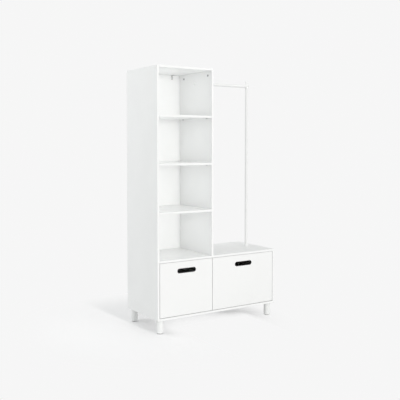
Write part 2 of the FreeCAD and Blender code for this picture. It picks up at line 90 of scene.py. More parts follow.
# %% Helpers for node trees
def put(tree, kind, sockets=None, **settings):
    """Adds a node, sets its own settings, and fills sockets by name or number with values or links."""
    made = tree.nodes.new(kind)
    for name, value in settings.items():
        setattr(made, name, value)
    for key, value in (sockets or {}).items():
        if isinstance(value, bpy.types.NodeSocket):
            tree.links.new(value, made.inputs[key])
        else:
            made.inputs[key].default_value = value
    return made


def reckon(tree, operation, first, second=0.0):
    """One arithmetic step with a value or link on each side."""
    return put(tree, "ShaderNodeMath", {0: first, 1: second}, operation=operation).outputs[0]


def remap(tree, value, low, high, to_low, to_high):
    """Carries a range of values smoothly over to another range, without overshoot."""
    made = put(tree, "ShaderNodeMapRange",
               {"Value": value, "From Min": low, "From Max": high, "To Min": to_low, "To Max": to_high},
               interpolation_type="SMOOTHSTEP")
    return made.outputs["Result"]


def blend_colours(tree, share, first, second):
    """Mixes two colours, each a triple or a link, by a share."""
    made = put(tree, "ShaderNodeMix", {"Factor": share}, data_type="RGBA")
    # A Mix node has sockets for every kind of data. Its colours are inputs 6 and 7 and output 2.
    for socket, value in ((made.inputs[6], first), (made.inputs[7], second)):
        if isinstance(value, bpy.types.NodeSocket):
            tree.links.new(value, socket)
        else:
            socket.default_value = (*value, 1.0)
    return made.outputs[2]


def seen_directly(tree):
    """1 for rays from the camera, and for what mirrors and glass show of the backdrop."""
    rays = put(tree, "ShaderNodeLightPath").outputs
    shown = reckon(tree, "MAXIMUM", rays["Is Camera Ray"], rays["Is Glossy Ray"])
    return reckon(tree, "MAXIMUM", shown, rays["Is Transmission Ray"])


print("node helpers ready")

# %% [markdown]
# Studio light
#
# The photograph is high key: even light from all round, with a clear lead from the front.
# A plain pale world gives the even part, and lamps give the lead.
# The camera and reflections see a paler backdrop instead of the world's own grey.

# %% The world
backdrop_grey = (0.923, 0.923, 0.923)
studio_light = (0.690, 0.702, 0.698)
world = bpy.data.worlds.new("studio")
world.use_nodes = True
bpy.context.scene.world = world
sky = world.node_tree
sky.nodes.clear()
fill = put(sky, "ShaderNodeBackground", {"Color": (*studio_light, 1.0), "Strength": 1.0})
plain = put(sky, "ShaderNodeBackground", {"Color": (*backdrop_grey, 1.0), "Strength": 1.0})
both = put(sky, "ShaderNodeMixShader", {0: seen_directly(sky), 1: fill.outputs[0], 2: plain.outputs[0]})
put(sky, "ShaderNodeOutputWorld", {"Surface": both.outputs[0]})
print("world light", studio_light, "before a backdrop of", backdrop_grey[0])

# %% [markdown]
# Lamps
#
# A studio lights white furniture with softboxes. Point lamps would be simpler, but their shadows are hard, so
# all lamps here are flat rectangles that give light to one side. They stay out of the picture, and out of the
# boards' soft sheen, which mirrors the backdrop only, so no lamp burns a white patch into a shelf.

# %% A helper for lamps
def panel_lamp(name, place, way, width, height, white, tint=(1.0, 1.0, 1.0), spread=180.0):
    """A rectangular lamp that faces a way and gives the light of so many sheets of fully lit white paper."""
    data = bpy.data.lights.new(name, "AREA")
    data.shape = "RECTANGLE"
    data.size = width
    data.size_y = height
    data.energy = white * math.pi * width * height
    data.color = tint
    data.spread = math.radians(spread)
    made = bpy.data.objects.new(name, data)
    bpy.context.scene.collection.objects.link(made)
    made.location = place
    made.rotation_euler = way.to_track_quat("-Z", "Y").to_euler()
    made.visible_camera = False
    made.visible_glossy = False
    print(name, round(data.energy, 3), "W")


print("lamp helper ready")

# %% [markdown]
# Light from the front
#
# A low softbox far in front reaches deep into the shelves. Above it, a tall and narrow strip casts the
# shadow, which is crisp sideways and soft lengthwise. One large lamp could do both, but then its shadow would
# be soft all round, and shadow and fill could not be set apart.

# %% Lamps in front
front_far = 12.0
front_target = Vector((0.0, 0.0, 0.3))
front_tint = (1.0, 0.985, 0.965)
softbox_rise, softbox_width, softbox_height, softbox_white = 5.5, 1.2, 1.8, 52.5
strip_rise, strip_width, strip_height, strip_white = 38.0, 0.25, 4.0, 66.0
for name, rise, width, height, white in (
        ("low_softbox", softbox_rise, softbox_width, softbox_height, softbox_white),
        ("high_strip", strip_rise, strip_width, strip_height, strip_white)):
    angle = math.radians(rise)
    away = front_far * Vector((0.0, -math.cos(angle), math.sin(angle)))
    panel_lamp(name, front_target + away, -away, width, height, white, front_tint)

# %% [markdown]
# Light from the side and below
#
# The front lamps pass the left side of the column by, so a panel high on the left lights it.
# The floor under the bench would come out darker than in the photograph. A brighter world would lift it, but
# everything else with it, so a small panel under the bottom board does that alone.

# %% Panels beside and under the rack
upwards = Vector((0, 0, 1))
side_place, side_target = Vector((-2.6, 0.9, 2.5)), Vector((-0.4, 0.0, 1.0))
side_width, side_height, side_white = 2.0, 1.6, 2.33
panel_lamp("side_panel", side_place, side_target - side_place, side_width, side_height, side_white)
under_gap = 0.002
under_place = Vector((-0.06, -0.01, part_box("bottom_panel")[0].z - under_gap))
under_width, under_depth, under_white = 0.44, 0.30, 0.40
panel_lamp("under_panel", under_place, -upwards, under_width, under_depth, under_white)

# %% [markdown]
# Light inside the shelves
#
# A photographer lifts the shade inside a white cupboard with small panels, and so does this scene.
# Each compartment has one in its mouth, one on its left cheek and one lying on its shelf.
# A grid before each panel narrows its spread, so the back, the wall and the board above get the light,
# and the shelf beside the panel keeps its grey up to a crisp white edge.

# %% Panels inside the compartments
forwards, rightwards = Vector((0, 1, 0)), Vector((1, 0, 0))
mouth_white, mouth_spread, mouth_margin = 0.265, 140.0, 0.006
cheek_white, cheek_spread, cheek_margin = 0.475, 120.0, 0.03
shelf_white, shelf_spread, shelf_margin = 0.150, 90.0, 0.04
mouth_gap, panel_gap = 0.004, 0.003
cheek_depth, shelf_depth, panel_width = 0.14, 0.17, 0.24
brightness_shares = (0.97, 1.0, 1.0, 1.03)
board_names = ("bench_top", "lower_shelf", "middle_shelf", "upper_shelf", "column_top")
boards = [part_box(name) for name in board_names]
inner_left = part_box("left_side_panel")[1].x
inner_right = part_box("column_side_panel")[0].x
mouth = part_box("column_side_panel")[0].y
wide, centre = inner_right - inner_left, (inner_left + inner_right) / 2
for i, share in enumerate(brightness_shares):
    floor_z, roof_z = boards[i][1].z, boards[i + 1][0].z
    tall, middle = roof_z - floor_z, (roof_z + floor_z) / 2
    panel_lamp(f"mouth_panel_{i}", Vector((centre, mouth + mouth_gap, middle)), forwards,
               wide - mouth_margin, tall - mouth_margin, mouth_white * share, spread=mouth_spread)
    panel_lamp(f"cheek_panel_{i}", Vector((inner_left + panel_gap, mouth + cheek_depth, middle)), rightwards,
               panel_width, tall - cheek_margin, cheek_white * share, spread=cheek_spread)
    panel_lamp(f"shelf_panel_{i}", Vector((centre, mouth + shelf_depth, floor_z + panel_gap)), upwards,
               wide - shelf_margin, panel_width, shelf_white * share, spread=shelf_spread)

# %% [markdown]
# Floor
#
# The rack stands on a plain pale floor that catches its shadow. A curved studio sweep could be modelled, but
# the other views would show its bend, so a very wide flat disc does. It lies a hair below the glides.

# %% The floor disc
floor_radius = 30.0
floor_drop = 0.0003
floor_segments = 96
floor_mesh = bpy.data.meshes.new("studio_floor")
disc = bmesh.new()
bmesh.ops.create_circle(disc, cap_ends=True, segments=floor_segments, radius=floor_radius,
                        matrix=Matrix.Translation((0, 0, -floor_drop)))
disc.to_mesh(floor_mesh)
disc.free()
floor = bpy.data.objects.new("studio_floor", floor_mesh)
bpy.context.scene.collection.objects.link(floor)
print("floor disc", floor_radius, "m in radius")

# %% [markdown]
# A floor without a horizon
#
# Far from the rack the floor fades into the backdrop's grey, so no horizon shows. The photograph keeps its
# shadow beside, behind and just under the rack, and its floor is plain before the drawers, so the same fade
# runs there as well. More light could bleach the floor too, but it would burn out the rack. So only the
# camera and reflections see the fade and the paler floor, and all other light bounces off a plain grey.

# %% The floor's paint
floor_bounce = (0.74, 0.74, 0.74)
floor_shown = (0.975, 0.969, 0.975)
fade_middle = (-0.28, 0.05, 0.0)
fade_start, fade_end = 0.36, 0.80
plain_front, plain_back = -0.11, 0.09
plain_half_width, plain_half_reach = 0.24, 0.37


def object_place(tree):
    """Object coordinates, in metres."""
    return put(tree, "ShaderNodeTexCoord").outputs["Object"]


floor_paint = bpy.data.materials.new("floor_paint")
floor_paint.use_nodes = True
tree = floor_paint.node_tree
tree.nodes.clear()
shown = seen_directly(tree)
place = object_place(tree)
reach = put(tree, "ShaderNodeVectorMath", {0: place, 1: fade_middle}, operation="DISTANCE").outputs["Value"]
far = remap(tree, reach, fade_start, fade_end, 0.0, 1.0)
across = put(tree, "ShaderNodeSeparateXYZ", {0: place}).outputs
before = remap(tree, across["Y"], plain_front, plain_back, 1.0, 0.0)
beside = remap(tree, reckon(tree, "ABSOLUTE", across["X"]), plain_half_width, plain_half_reach, 1.0, 0.0)
faded = reckon(tree, "MAXIMUM", far, reckon(tree, "MULTIPLY", before, beside))
faded = reckon(tree, "MULTIPLY", faded, shown)
matte = put(tree, "ShaderNodeBsdfDiffuse", {"Color": blend_colours(tree, shown, floor_bounce, floor_shown)})
glow = put(tree, "ShaderNodeEmission", {"Color": (*backdrop_grey, 1.0)})
both = put(tree, "ShaderNodeMixShader", {0: faded, 1: matte.outputs[0], 2: glow.outputs[0]})
put(tree, "ShaderNodeOutputMaterial", {"Surface": both.outputs[0]})
floor_mesh.materials.append(floor_paint)
print("floor fades into the backdrop between", fade_start, "and", fade_end, "m")

# %% [markdown]
# Effects that several finishes share
#
# A node group is a small tool made once and used in many materials, each time with its own values.
# The rack is white all over, so its finishes differ more in skin, gloss, dust and painted shade than in
# colour.
# Each group below puts out plain values, and the materials decide what the values do.

# %% Helpers for node groups
cloud_low, cloud_high = 0.3, 0.7


def effect(name, inputs, outputs):
    """A shader node group with named values going in and coming out, and the sockets at its two ends."""
    group = bpy.data.node_groups.new(name, "ShaderNodeTree")
    for label, value in inputs.items():
        group.interface.new_socket(label, in_out="INPUT", socket_type="NodeSocketFloat").default_value = value
    for label in outputs:
        group.interface.new_socket(label, in_out="OUTPUT", socket_type="NodeSocketFloat")
    return group, put(group, "NodeGroupInput").outputs, put(group, "NodeGroupOutput").inputs


def clouds(tree, vector, scale, detail, roughness=0.55):
    """Soft cloudy noise, mostly between cloud_low and cloud_high."""
    return put(tree, "ShaderNodeTexNoise", {"Vector": vector, "Scale": scale, "Detail": detail,
                                            "Roughness": roughness}).outputs[0]


print("effect helpers ready")

# %% [markdown]
# Skin of a coating
#
# Foil, paint and powder coat are never quite flat: close up they have a fine skin like orange peel, and over
# a whole board their white drifts a little. Painted maps would need every board unwrapped. Noise on object
# coordinates doesn't, so it gives both, in two sizes, and stays fine however near the camera comes.

# %% Coating skin
coating_skin, given, result = effect("coating_skin", {"Peel Size": 800.0, "Drift Size": 5.0},
                                     ("Peel", "Drift"))
place = object_place(coating_skin)
drift = clouds(coating_skin, place, given["Drift Size"], detail=4.0)
drift = remap(coating_skin, drift, cloud_low, cloud_high, 0.0, 1.0)
coating_skin.links.new(clouds(coating_skin, place, given["Peel Size"], detail=2.0), result["Peel"])
coating_skin.links.new(drift, result["Drift"])
print(coating_skin.name, "gives the fine skin of a coating and the slow drift of its tone")

# %% [markdown]
# Marks of handling
#
# Hands leave a film that is seen only as a duller patch where light glances off. It could be painted where
# people touch, but a rack is handled all over, so large soft patches, broken up by small smears, stand for
# it.

# %% Hand marks
mark_low, mark_high = 0.5, 0.7
smear_size = 190.0
smear_low, smear_high, smear_least = 0.35, 0.65, 0.4
hand_marks, given, result = effect("hand_marks", {"Patch Size": 7.0}, ("Mask",))
place = object_place(hand_marks)
patches = clouds(hand_marks, place, given["Patch Size"], detail=3.0)
patches = remap(hand_marks, patches, mark_low, mark_high, 0.0, 1.0)
smears = clouds(hand_marks, place, smear_size, detail=3.0)
smears = remap(hand_marks, smears, smear_low, smear_high, smear_least, 1.0)
hand_marks.links.new(reckon(hand_marks, "MULTIPLY", patches, smears), result["Mask"])
print(hand_marks.name, "gives the patches where handling has dulled a surface")

# %% [markdown]
# Dust and painted shade
#
# Dust lies on what looks up and never under a shelf. Its grey is also painted shade, as tops catch less of
# the light from the front than fronts do. A mask could be painted on each board, but the direction that a
# face looks in finds every level top by itself, and cloudy noise keeps the layer uneven.

# %% Settled dust and painted shade on tops
slope_low, slope_high = 0.7, 0.98
dust_size = 14.0
dust_low, dust_high, dust_least = 0.3, 0.75, 0.45


def part_of(tree, vector, axis):
    """One part of a vector: X, Y or Z."""
    return put(tree, "ShaderNodeSeparateXYZ", {0: vector}).outputs[axis]


def facing(tree, axis):
    """How far a face looks along an axis, from -1 to 1."""
    return part_of(tree, put(tree, "ShaderNodeNewGeometry").outputs["Normal"], axis)


# A grey veil on faces that look up: dust, and painted shade where the tops catch less light.
settled_dust, given, result = effect("settled_dust", {"Amount": 0.1}, ("Mask",))
upward = remap(settled_dust, facing(settled_dust, "Z"), slope_low, slope_high, 0.0, 1.0)
patches = clouds(settled_dust, object_place(settled_dust), dust_size, detail=5.0)
patches = remap(settled_dust, patches, dust_low, dust_high, dust_least, 1.0)
layer = reckon(settled_dust, "MULTIPLY", upward, patches)
layer = reckon(settled_dust, "MULTIPLY", layer, given["Amount"])
settled_dust.links.new(layer, result["Mask"])
print(settled_dust.name, "gives a thin veil on faces that look up")

# %% [markdown]
# Wood grain
#
# Wood fibres are many times longer than they are wide. A wave texture could draw them, but it looks too
# regular, so cloudy noise is drawn out along the upright axis instead.

# %% Lengthwise grain
def scaled(tree, vector, factors):
    """A vector with each part multiplied by its own factor."""
    return put(tree, "ShaderNodeVectorMath", {0: vector, 1: factors}, operation="MULTIPLY").outputs[0]


long_grain, given, result = effect("long_grain", {"Fibre Size": 420.0, "Stretch": 0.04}, ("Grain",))
stretch = put(long_grain, "ShaderNodeCombineXYZ", {0: 1.0, 1: 1.0, 2: given["Stretch"]}).outputs[0]
drawn = scaled(long_grain, object_place(long_grain), stretch)
grain = clouds(long_grain, drawn, given["Fibre Size"], detail=4.0, roughness=0.6)
long_grain.links.new(remap(long_grain, grain, cloud_low, cloud_high, 0.0, 1.0), result["Grain"])
print(long_grain.name, "gives wood fibres that run upright")

# %% [markdown]
# Bloom
#
# Cast and plated metal has a fine grain and a cloudy bloom over it, and moulded plastic looks much the same.
# Each could have its own noise, but one group with two sizes serves them all.

# %% Metal bloom
bloom_low, bloom_high = 0.32, 0.68
metal_bloom, given, result = effect("metal_bloom", {"Grain Size": 1500.0, "Bloom Size": 90.0},
                                    ("Grain", "Bloom"))
place = object_place(metal_bloom)
bloom = clouds(metal_bloom, place, given["Bloom Size"], detail=5.0)
bloom = remap(metal_bloom, bloom, bloom_low, bloom_high, 0.0, 1.0)
metal_bloom.links.new(clouds(metal_bloom, place, given["Grain Size"], detail=2.0), result["Grain"])
metal_bloom.links.new(bloom, result["Bloom"])
print(metal_bloom.name, "gives the fine grain of metal or moulded plastic and its cloudy bloom")

# %% [markdown]
# White coatings
#
# Boards, legs, tubes, caps and runners are all white, each in its own way. Each could have a tree of its own,
# but one function that makes their common base keeps them alike where the real coatings are alike.
# Two close whites drift into each other, dust and painted shade grey what looks up, and handling changes the
# gloss in patches.
# The skin is a bump of a few hundredths of a millimetre, as foil, paint and powder coat have.

# %% Helpers for finishes
# The grey of dust, which also serves as painted shade on faces that look up.
dust_and_shade_grey = (0.70, 0.69, 0.67)
gloss_change = 0.12


def finish(name):
    """A new material, its node tree and its Principled shader."""
    made = bpy.data.materials.new(name)
    made.use_nodes = True
    return made, made.node_tree, made.node_tree.nodes["Principled BSDF"]


def feed(tree, shader, **links):
    """Joins outputs to the shader's sockets, with spaces in their names written as underscores."""
    for label, source in links.items():
        tree.links.new(source, shader.inputs[label.replace("_", " ")])


def raised(tree, height, depth):
    """The normal of a surface that stands up by a real depth, in metres, where height is 1."""
    return put(tree, "ShaderNodeBump", {"Strength": 1.0, "Distance": depth, "Height": height}).outputs[0]


def white_coat(name, pale, deep, gloss, peel_size, depth, dust, drift_size=5.0, paint=None, relief=None):
    """A white coating with skin, dust with painted shade on tops, and hand marks. Paint may change its
    colour, and relief its skin.
    """
    made, tree, shader = finish(name)
    skin = put(tree, "ShaderNodeGroup", {"Peel Size": peel_size, "Drift Size": drift_size},
               node_tree=coating_skin).outputs
    mark = put(tree, "ShaderNodeGroup", node_tree=hand_marks).outputs["Mask"]
    # Dust and painted shade on faces that look up.
    veil = put(tree, "ShaderNodeGroup", {"Amount": dust}, node_tree=settled_dust).outputs["Mask"]
    colour = blend_colours(tree, veil, blend_colours(tree, skin["Drift"], pale, deep), dust_and_shade_grey)
    height = skin["Peel"]
    feed(tree, shader, Base_Color=paint(tree, colour) if paint else colour,
         Roughness=remap(tree, mark, 0.0, 1.0, gloss, gloss + gloss_change),
         Normal=raised(tree, relief(tree, height) if relief else height, depth))
    print(name, "gloss", gloss, "skin", round(1000 / peel_size, 2), "mm")
    return made


print("finish helpers ready")

# %% [markdown]
# Foil board and its edge tape
#
# The boards are chipboard in a smooth white foil. Their front edges carry a plastic tape that is a touch
# whiter than the foil, with a hairline of glue where the two meet. That extra white is partly a painted
# highlight, for thin edges that catch the front light.
# Strips of mesh could stand for the tape, but so thin a plastic shows only by its tone.
# So it is painted, by how far forward a point lies, because sides, tops and shelves end in one plane.

# %% Carcass boards
micron = 1e-6
tape_thickness = 0.0008
tape_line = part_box("left_side_panel")[0].y + tape_thickness
tape_blur = 0.0002
# The tape's white is partly a painted highlight on the thin front edges.
tape_highlight_white = (0.912, 0.914, 0.913)
seam_core, seam_reach, seam_share = 0.00006, 0.00018, 0.5
seam_grey = (0.74, 0.74, 0.73)


def edge_tape_and_highlight(tree, colour):
    """Whiter tape on the front edges, partly a painted highlight, and a grey hairline behind it."""
    forward = part_of(tree, object_place(tree), "Y")
    tape = remap(tree, forward, tape_line - tape_blur, tape_line + tape_blur, 1.0, 0.0)
    off_seam = reckon(tree, "ABSOLUTE", reckon(tree, "SUBTRACT", forward, tape_line))
    seam = remap(tree, off_seam, seam_core, seam_reach, seam_share, 0.0)
    return blend_colours(tree, seam, blend_colours(tree, tape, colour, tape_highlight_white), seam_grey)


# The carcass has the most of the dust grey, painted shade that darkens its shelf and bench tops.
carcass_white = white_coat("carcass_white", pale=(0.915, 0.922, 0.919), deep=(0.896, 0.903, 0.900),
                           gloss=0.34, peel_size=900.0, depth=15 * micron, dust=0.16, paint=edge_tape_and_highlight)
# The drawer fronts' foil is a shade darker than the carcass's: painted shade that keeps the fully lit fronts
# below the white of the edges.
drawer_white = white_coat("drawer_white", pale=(0.888, 0.889, 0.888), deep=(0.876, 0.878, 0.877),
                          gloss=0.33, peel_size=900.0, depth=15 * micron, dust=0.05, drift_size=3.0)

# %% [markdown]
# Thin hardboard
#
# Backs and drawer bottoms are three-millimetre hardboard. One face is printed white, and the other keeps the
# mesh of the screen that the board was pressed on. Modelled ridges would need hundreds of thousands of faces,
# so two crossed waves draw the mesh in the bump, where a face looks to the rear.

# %% Hardboard
mesh_pitch = 0.0016
mesh_height = 3.0
rear_low, rear_high = 0.4, 0.8


def screen_mesh(tree, height):
    """Adds the crossed ridges of the pressing screen to rear faces."""
    place = object_place(tree)
    waves = []
    for axis in ("X", "Z"):
        turns = reckon(tree, "MULTIPLY", part_of(tree, place, axis), math.pi / mesh_pitch)
        waves.append(reckon(tree, "ABSOLUTE", reckon(tree, "SINE", turns)))
    rearward = remap(tree, facing(tree, "Y"), rear_low, rear_high, 0.0, mesh_height)
    ridges = reckon(tree, "MULTIPLY", reckon(tree, "MINIMUM", *waves), rearward)
    return reckon(tree, "ADD", height, ridges)


hardboard_white = white_coat("hardboard_white", pale=(0.930, 0.934, 0.932), deep=(0.912, 0.917, 0.914),
                             gloss=0.46, peel_size=1300.0, depth=20 * micron, dust=0.10, relief=screen_mesh)

# %% [markdown]
# Painted legs
#
# The legs are turned from wood and sprayed white. Two thin coats don't quite hide the grain. Grain in the
# colour alone would look printed, and the real one shows as fine upright ridges when light rakes across it,
# so it goes into the bump and only faintly into the tone.

# %% Legs
fibre_size = 520.0
grain_shade = (0.850, 0.855, 0.848)
grain_share = 0.25


def fibres(tree):
    """The grain of the wood under the paint."""
    return put(tree, "ShaderNodeGroup", {"Fibre Size": fibre_size}, node_tree=long_grain).outputs["Grain"]


def shaded_grain(tree, colour):
    """Paint that is a little darker along the fibres."""
    return blend_colours(tree, reckon(tree, "MULTIPLY", fibres(tree), grain_share), colour, grain_shade)


def raised_grain(tree, height):
    """Fibres that stand up under the skin of the paint."""
    return reckon(tree, "ADD", height, fibres(tree))


leg_white = white_coat("leg_white", pale=(0.905, 0.910, 0.906), deep=(0.880, 0.886, 0.882), gloss=0.36,
                       peel_size=700.0, depth=30 * micron, dust=0.05, drift_size=30.0, paint=shaded_grain,
                       relief=raised_grain)

# %% [markdown]
# Powder-coated tube, moulded cap and enamelled runners
#
# Powder coat melts into a fine orange-peel skin, and the tube's white is a little greyer, painted shade for
# the post's shaded side. The moulded cap has the finer, duller grain of its mould.
# Both are the common coating with another size of skin. The runners are dipped in enamel, and each roller has
# rubbed a grey track along the flat faces that it runs on. Modelled scratches would be too fine to see, so
# noise that is drawn out lengthwise paints the track.

# %% Tube, cap and runners
rub_grey = (0.42, 0.42, 0.43)
rub_share = 0.7
level_low, level_high = 0.7, 0.95
streak_scale = (900.0, 9.0, 60.0)
streak_low, streak_high = 0.42, 0.6


def rubbed_tracks(tree, colour):
    """Grey streaks along the slide's way, on level faces."""
    level_face = reckon(tree, "ABSOLUTE", facing(tree, "Z"))
    flatness = remap(tree, level_face, level_low, level_high, 0.0, rub_share)
    streaks = clouds(tree, scaled(tree, object_place(tree), streak_scale), scale=1.0, detail=3.0)
    streaks = remap(tree, streaks, streak_low, streak_high, 0.0, 1.0)
    return blend_colours(tree, reckon(tree, "MULTIPLY", flatness, streaks), colour, rub_grey)


# The tube's white is a little greyer than the other whites: painted shade for the shaded side of post and
# rail.
tube_white = white_coat("tube_white", pale=(0.870, 0.874, 0.872), deep=(0.850, 0.854, 0.852), gloss=0.40,
                        peel_size=1500.0, depth=30 * micron, dust=0.05, drift_size=12.0)
cap_white = white_coat("cap_white", pale=(0.890, 0.893, 0.888), deep=(0.872, 0.875, 0.869), gloss=0.50,
                       peel_size=3200.0, depth=10 * micron, dust=0.05, drift_size=60.0)
runner_white = white_coat("runner_white", pale=(0.880, 0.882, 0.876), deep=(0.855, 0.858, 0.850), gloss=0.30,
                          peel_size=600.0, depth=30 * micron, dust=0.06, drift_size=20.0, paint=rubbed_tracks)

# %% [markdown]
# Plain plastics
#
# The glides under the feet are grey and scuffed by the floor, the rollers are natural nylon, and the hand
# slots are lined in black. Each has the fine grain of its mould, so the group that was made for metal serves
# here too. Nylon also lets a little light into its skin, which is a subsurface weight on its shader.

# %% Glides, rollers and slot liners
mould_grain, mould_bloom, mould_patch = 2600.0, 140.0, 60.0
nylon_glow_share = 0.2
nylon_glow_depth = (0.002, 0.002, 0.0018)


def moulded(name, pale, deep, gloss, depth):
    """A moulded plastic with a fine grain and a cloudy tone."""
    made, tree, shader = finish(name)
    grain = put(tree, "ShaderNodeGroup", {"Grain Size": mould_grain, "Bloom Size": mould_bloom},
                node_tree=metal_bloom).outputs
    mark = put(tree, "ShaderNodeGroup", {"Patch Size": mould_patch}, node_tree=hand_marks).outputs["Mask"]
    feed(tree, shader, Base_Color=blend_colours(tree, grain["Bloom"], pale, deep),
         Roughness=remap(tree, mark, 0.0, 1.0, gloss, gloss + gloss_change),
         Normal=raised(tree, grain["Grain"], depth))
    print(name, "gloss", gloss)
    return made, shader


glide_grey, shader = moulded("glide_grey", pale=(0.46, 0.46, 0.46), deep=(0.40, 0.40, 0.405), gloss=0.55,
                             depth=30 * micron)
liner_black, shader = moulded("liner_black", pale=(0.014, 0.014, 0.015), deep=(0.022, 0.022, 0.023),
                              gloss=0.55, depth=20 * micron)
roller_nylon, shader = moulded("roller_nylon", pale=(0.87, 0.87, 0.84), deep=(0.83, 0.83, 0.79), gloss=0.40,
                               depth=10 * micron)
shader.inputs["Subsurface Weight"].default_value = nylon_glow_share
shader.inputs["Subsurface Radius"].default_value = nylon_glow_depth

# %% [markdown]
# Metals
#
# Cams are die-cast zinc, dull and dark with a cloudy skin. Screws, pins and brackets carry bright zinc plate
# with a faint blue and straw bloom. A grey paint could stand for either, but it would not mirror the studio.
# So both are fully metallic, and one cloudy mask moves colour and gloss together.

# %% Zinc and plate
def bare_metal(name, pale, deep, gloss, gloss_spread, depth):
    """A metal whose tone and gloss drift with its bloom."""
    made, tree, shader = finish(name)
    shader.inputs["Metallic"].default_value = 1.0
    bloom = put(tree, "ShaderNodeGroup", node_tree=metal_bloom).outputs
    feed(tree, shader, Base_Color=blend_colours(tree, bloom["Bloom"], pale, deep),
         Roughness=remap(tree, bloom["Bloom"], 0.0, 1.0, gloss, gloss + gloss_spread),
         Normal=raised(tree, bloom["Grain"], depth))
    print(name, "gloss", gloss)
    return made


cast_zinc = bare_metal("cast_zinc", pale=(0.30, 0.30, 0.31), deep=(0.20, 0.20, 0.205), gloss=0.42,
                       gloss_spread=0.15, depth=40 * micron)
zinc_plate = bare_metal("zinc_plate", pale=(0.66, 0.67, 0.70), deep=(0.60, 0.59, 0.55), gloss=0.26,
                        gloss_spread=0.14, depth=10 * micron)

# %% [markdown]
# Beech dowels
#
# The dowels are plain beech, hidden once the boards are together, but seen wherever the part is taken apart.
# A flat brown would do for hidden pieces, but the legs' grain group is at hand, so it draws their fibres,
# here in colour too.

# %% Beech
beech_pale, beech_deep = (0.78, 0.62, 0.43), (0.63, 0.45, 0.28)
beech_gloss, beech_gloss_spread = 0.55, 0.15
beech_fibre, beech_stretch = 900.0, 0.08
beech, tree, shader = finish("beech")
fibre = put(tree, "ShaderNodeGroup", {"Fibre Size": beech_fibre, "Stretch": beech_stretch},
            node_tree=long_grain).outputs["Grain"]
feed(tree, shader, Base_Color=blend_colours(tree, fibre, beech_pale, beech_deep),
     Roughness=remap(tree, fibre, 0.0, 1.0, beech_gloss, beech_gloss + beech_gloss_spread),
     Normal=raised(tree, fibre, 40 * micron))
print("beech gloss", beech_gloss)

# %% [markdown]
# Dressing the CAD nodes
#
# The imported record says which finish slot each node has. Materials could be given node by node, but a table
# from slot to material dresses them all. Drawer fronts share the boards' slot, but they are faces without
# edge tape in front, so they get a material of their own, a shade darker: painted shade that keeps the fully
# lit fronts below the white of the edges.

# %% Give each node its finish
finishes = {"white_board": carcass_white, "white_hardboard": hardboard_white, "painted_leg": leg_white,
            "white_tube": tube_white, "white_cap": cap_white, "glide_plastic": glide_grey,
            "zinc_cam": cast_zinc, "plated_steel": zinc_plate, "runner_enamel": runner_white,
            "roller_nylon": roller_nylon, "dowel_wood": beech}
for row in frame["record"]["subparts"]:
    is_front = row["node"] in ("left_drawer_front", "right_drawer_front")
    materials = nodes[row["node"]].data.materials
    materials.clear()
    materials.append(drawer_white if is_front else finishes[row["material_slot"]])

# %% [markdown]
# Reading places from the CAD model
#
# New pieces go exactly where the CAD solids are. Their places could be typed in, but then they would be wrong
# after the next change of a size, so they are read from the nodes.
# A node may hold several solids. Walking from corner to corner on a merged copy of its mesh tells them apart.

# %% Find the solids of a node
weld_distance = 1e-6


def solids_of(name):
    """The corner points of each separate solid in a CAD node, in a fixed order."""
    work = bmesh.new()
    work.from_mesh(nodes[name].data)
    bmesh.ops.remove_doubles(work, verts=work.verts, dist=weld_distance)
    work.verts.index_update()
    visited = [False] * len(work.verts)
    found = []
    for start in work.verts:
        if visited[start.index]:
            continue
        visited[start.index] = True
        waiting, points = [start], []
        while waiting:
            corner = waiting.pop()
            points.append(corner.co.copy())
            for edge in corner.link_edges:
                other = edge.other_vert(corner)
                if not visited[other.index]:
                    visited[other.index] = True
                    waiting.append(other)
        found.append(points)
    work.free()
    return found


def middle_of(points):
    """The middle of the box round some points, and the box's size."""
    low = Vector([min(p[i] for p in points) for i in range(3)])
    high = Vector([max(p[i] for p in points) for i in range(3)])
    return (low + high) / 2, high - low


def in_mm(values):
    """Metres as rounded millimetres, for printing."""
    return [round(1000 * v, 1) for v in values]


roller_sizes = [in_mm(middle_of(points)[1]) for points in solids_of("left_front_rollers")]
print("front rollers of the left drawer:", roller_sizes, "mm")

# %% [markdown]
# Turned pieces
#
# A roller, a bolt or a cam is a profile turned about an axis. Its corners could be worked out ring by ring,
# but the spin operator makes them from the profile alone, and closes the ring.
# The profile is a few points, each a distance along the axis and a distance from it.
# Points on the axis come out once per step, so doubles are merged, and then normals are turned outwards.

# %% Helpers for turned pieces
turn_steps = 48


def turn(work, profile, base, axis, closed=False):
    """Spins a profile about an axis through base, and returns the new corners."""
    side = axis.orthogonal().normalized()
    before = set(work.verts)
    corners = [work.verts.new(base + axis * along + side * out) for along, out in profile]
    pairs = list(zip(corners, corners[1:] + corners[:1]))
    lines = [work.edges.new(pair) for pair in (pairs if closed else pairs[:-1])]
    bmesh.ops.spin(work, geom=corners + lines, cent=base, axis=axis, angle=2 * math.pi, steps=turn_steps,
                   use_merge=True)
    return [v for v in work.verts if v not in before]


def finish_mesh(work, name, material, body, stands_for=(), crease=35.0):
    """Cleans a bmesh, makes it a smooth piece with creased edges, and lets it ride on its body."""
    bmesh.ops.remove_doubles(work, verts=work.verts, dist=weld_distance)
    bmesh.ops.recalc_face_normals(work, faces=work.faces)
    is_closed = all(edge.is_manifold for edge in work.edges)
    mesh = bpy.data.meshes.new(name)
    work.to_mesh(mesh)
    work.free()
    mesh.shade_smooth()
    mesh.set_sharp_from_angle(angle=math.radians(crease))
    mesh.materials.append(material)
    made = bpy.data.objects.new(name, mesh)
    bpy.context.scene.collection.objects.link(made)
    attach(made, body)
    if stands_for:
        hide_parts(*stands_for)
    print(name, "has", len(mesh.polygons), "faces", "closed" if is_closed else "OPEN", "and rides on", body)


print("pieces are turned in", turn_steps, "steps")

